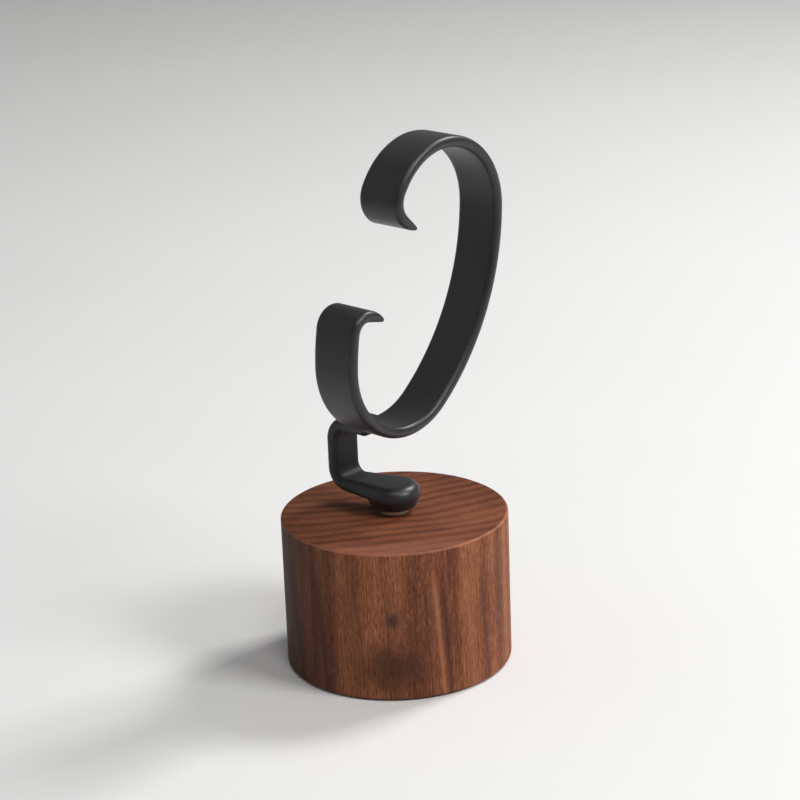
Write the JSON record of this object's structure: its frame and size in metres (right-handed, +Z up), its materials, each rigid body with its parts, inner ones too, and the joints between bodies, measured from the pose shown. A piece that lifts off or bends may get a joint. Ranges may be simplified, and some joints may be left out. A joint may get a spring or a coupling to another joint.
{
  "type": "watch stand",
  "caption": "Display stand: C-shaped cuff with curled lips on a side leg, screwed to a turned wooden block, for holding a closed wristwatch.",
  "frame": {"origin": "middle of the face that the stand rests on, on the block's axis", "axes": "+Z up along the block's axis; -Y is the front, towards which the cuff opens; +X along the cuff's axis, away from the leg"},
  "size_m": [0.04, 0.0461, 0.0926],
  "materials": {
    "walnut": "oiled, satin",
    "soft_black": "soft-touch matte",
    "plated_metal": "bright turned",
    "zinc_steel": "zinc plated",
    "brass": "turned",
    "rubber": "matte"
  },
  "bodies": {
    "root": {"wood_block": "walnut", "display_cuff": "soft_black", "spacer": "plated_metal", "fixing_screw": "zinc_steel", "screw_washer": "zinc_steel", "threaded_insert": "brass", "non_slip_disc": "rubber"}
  },
  "joints": []
}
